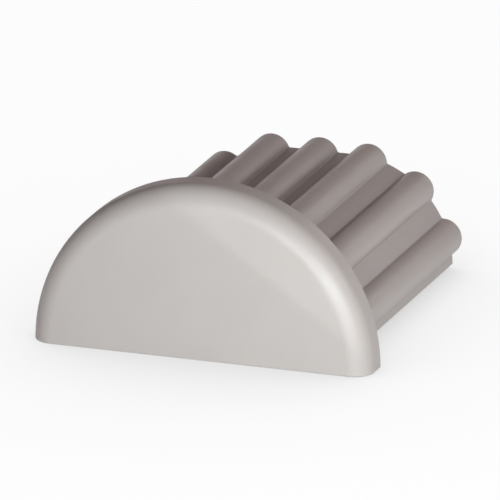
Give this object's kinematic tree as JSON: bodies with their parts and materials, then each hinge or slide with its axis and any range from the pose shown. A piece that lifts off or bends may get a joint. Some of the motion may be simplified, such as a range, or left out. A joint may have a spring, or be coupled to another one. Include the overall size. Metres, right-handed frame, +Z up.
{
  "type": "groove plug",
  "caption": "Half-round end plug: a flat face plate with a rounded arch, and behind it a solid arched plug with round ribs that grip a half-round groove.",
  "frame": {"origin": "on the face plate's back face, midway along the plate's straight lower edge, where the plug leaves the plate", "axes": "+X to the right along the plate's straight edge, +Y along the plug into the groove, +Z up towards the top of the arch"},
  "size_m": [0.042, 0.0435, 0.021],
  "materials": {
    "moulded_plastic": "warm grey satin moulded plastic"
  },
  "bodies": {
    "root": {"groove_plug": "moulded_plastic"}
  },
  "joints": []
}
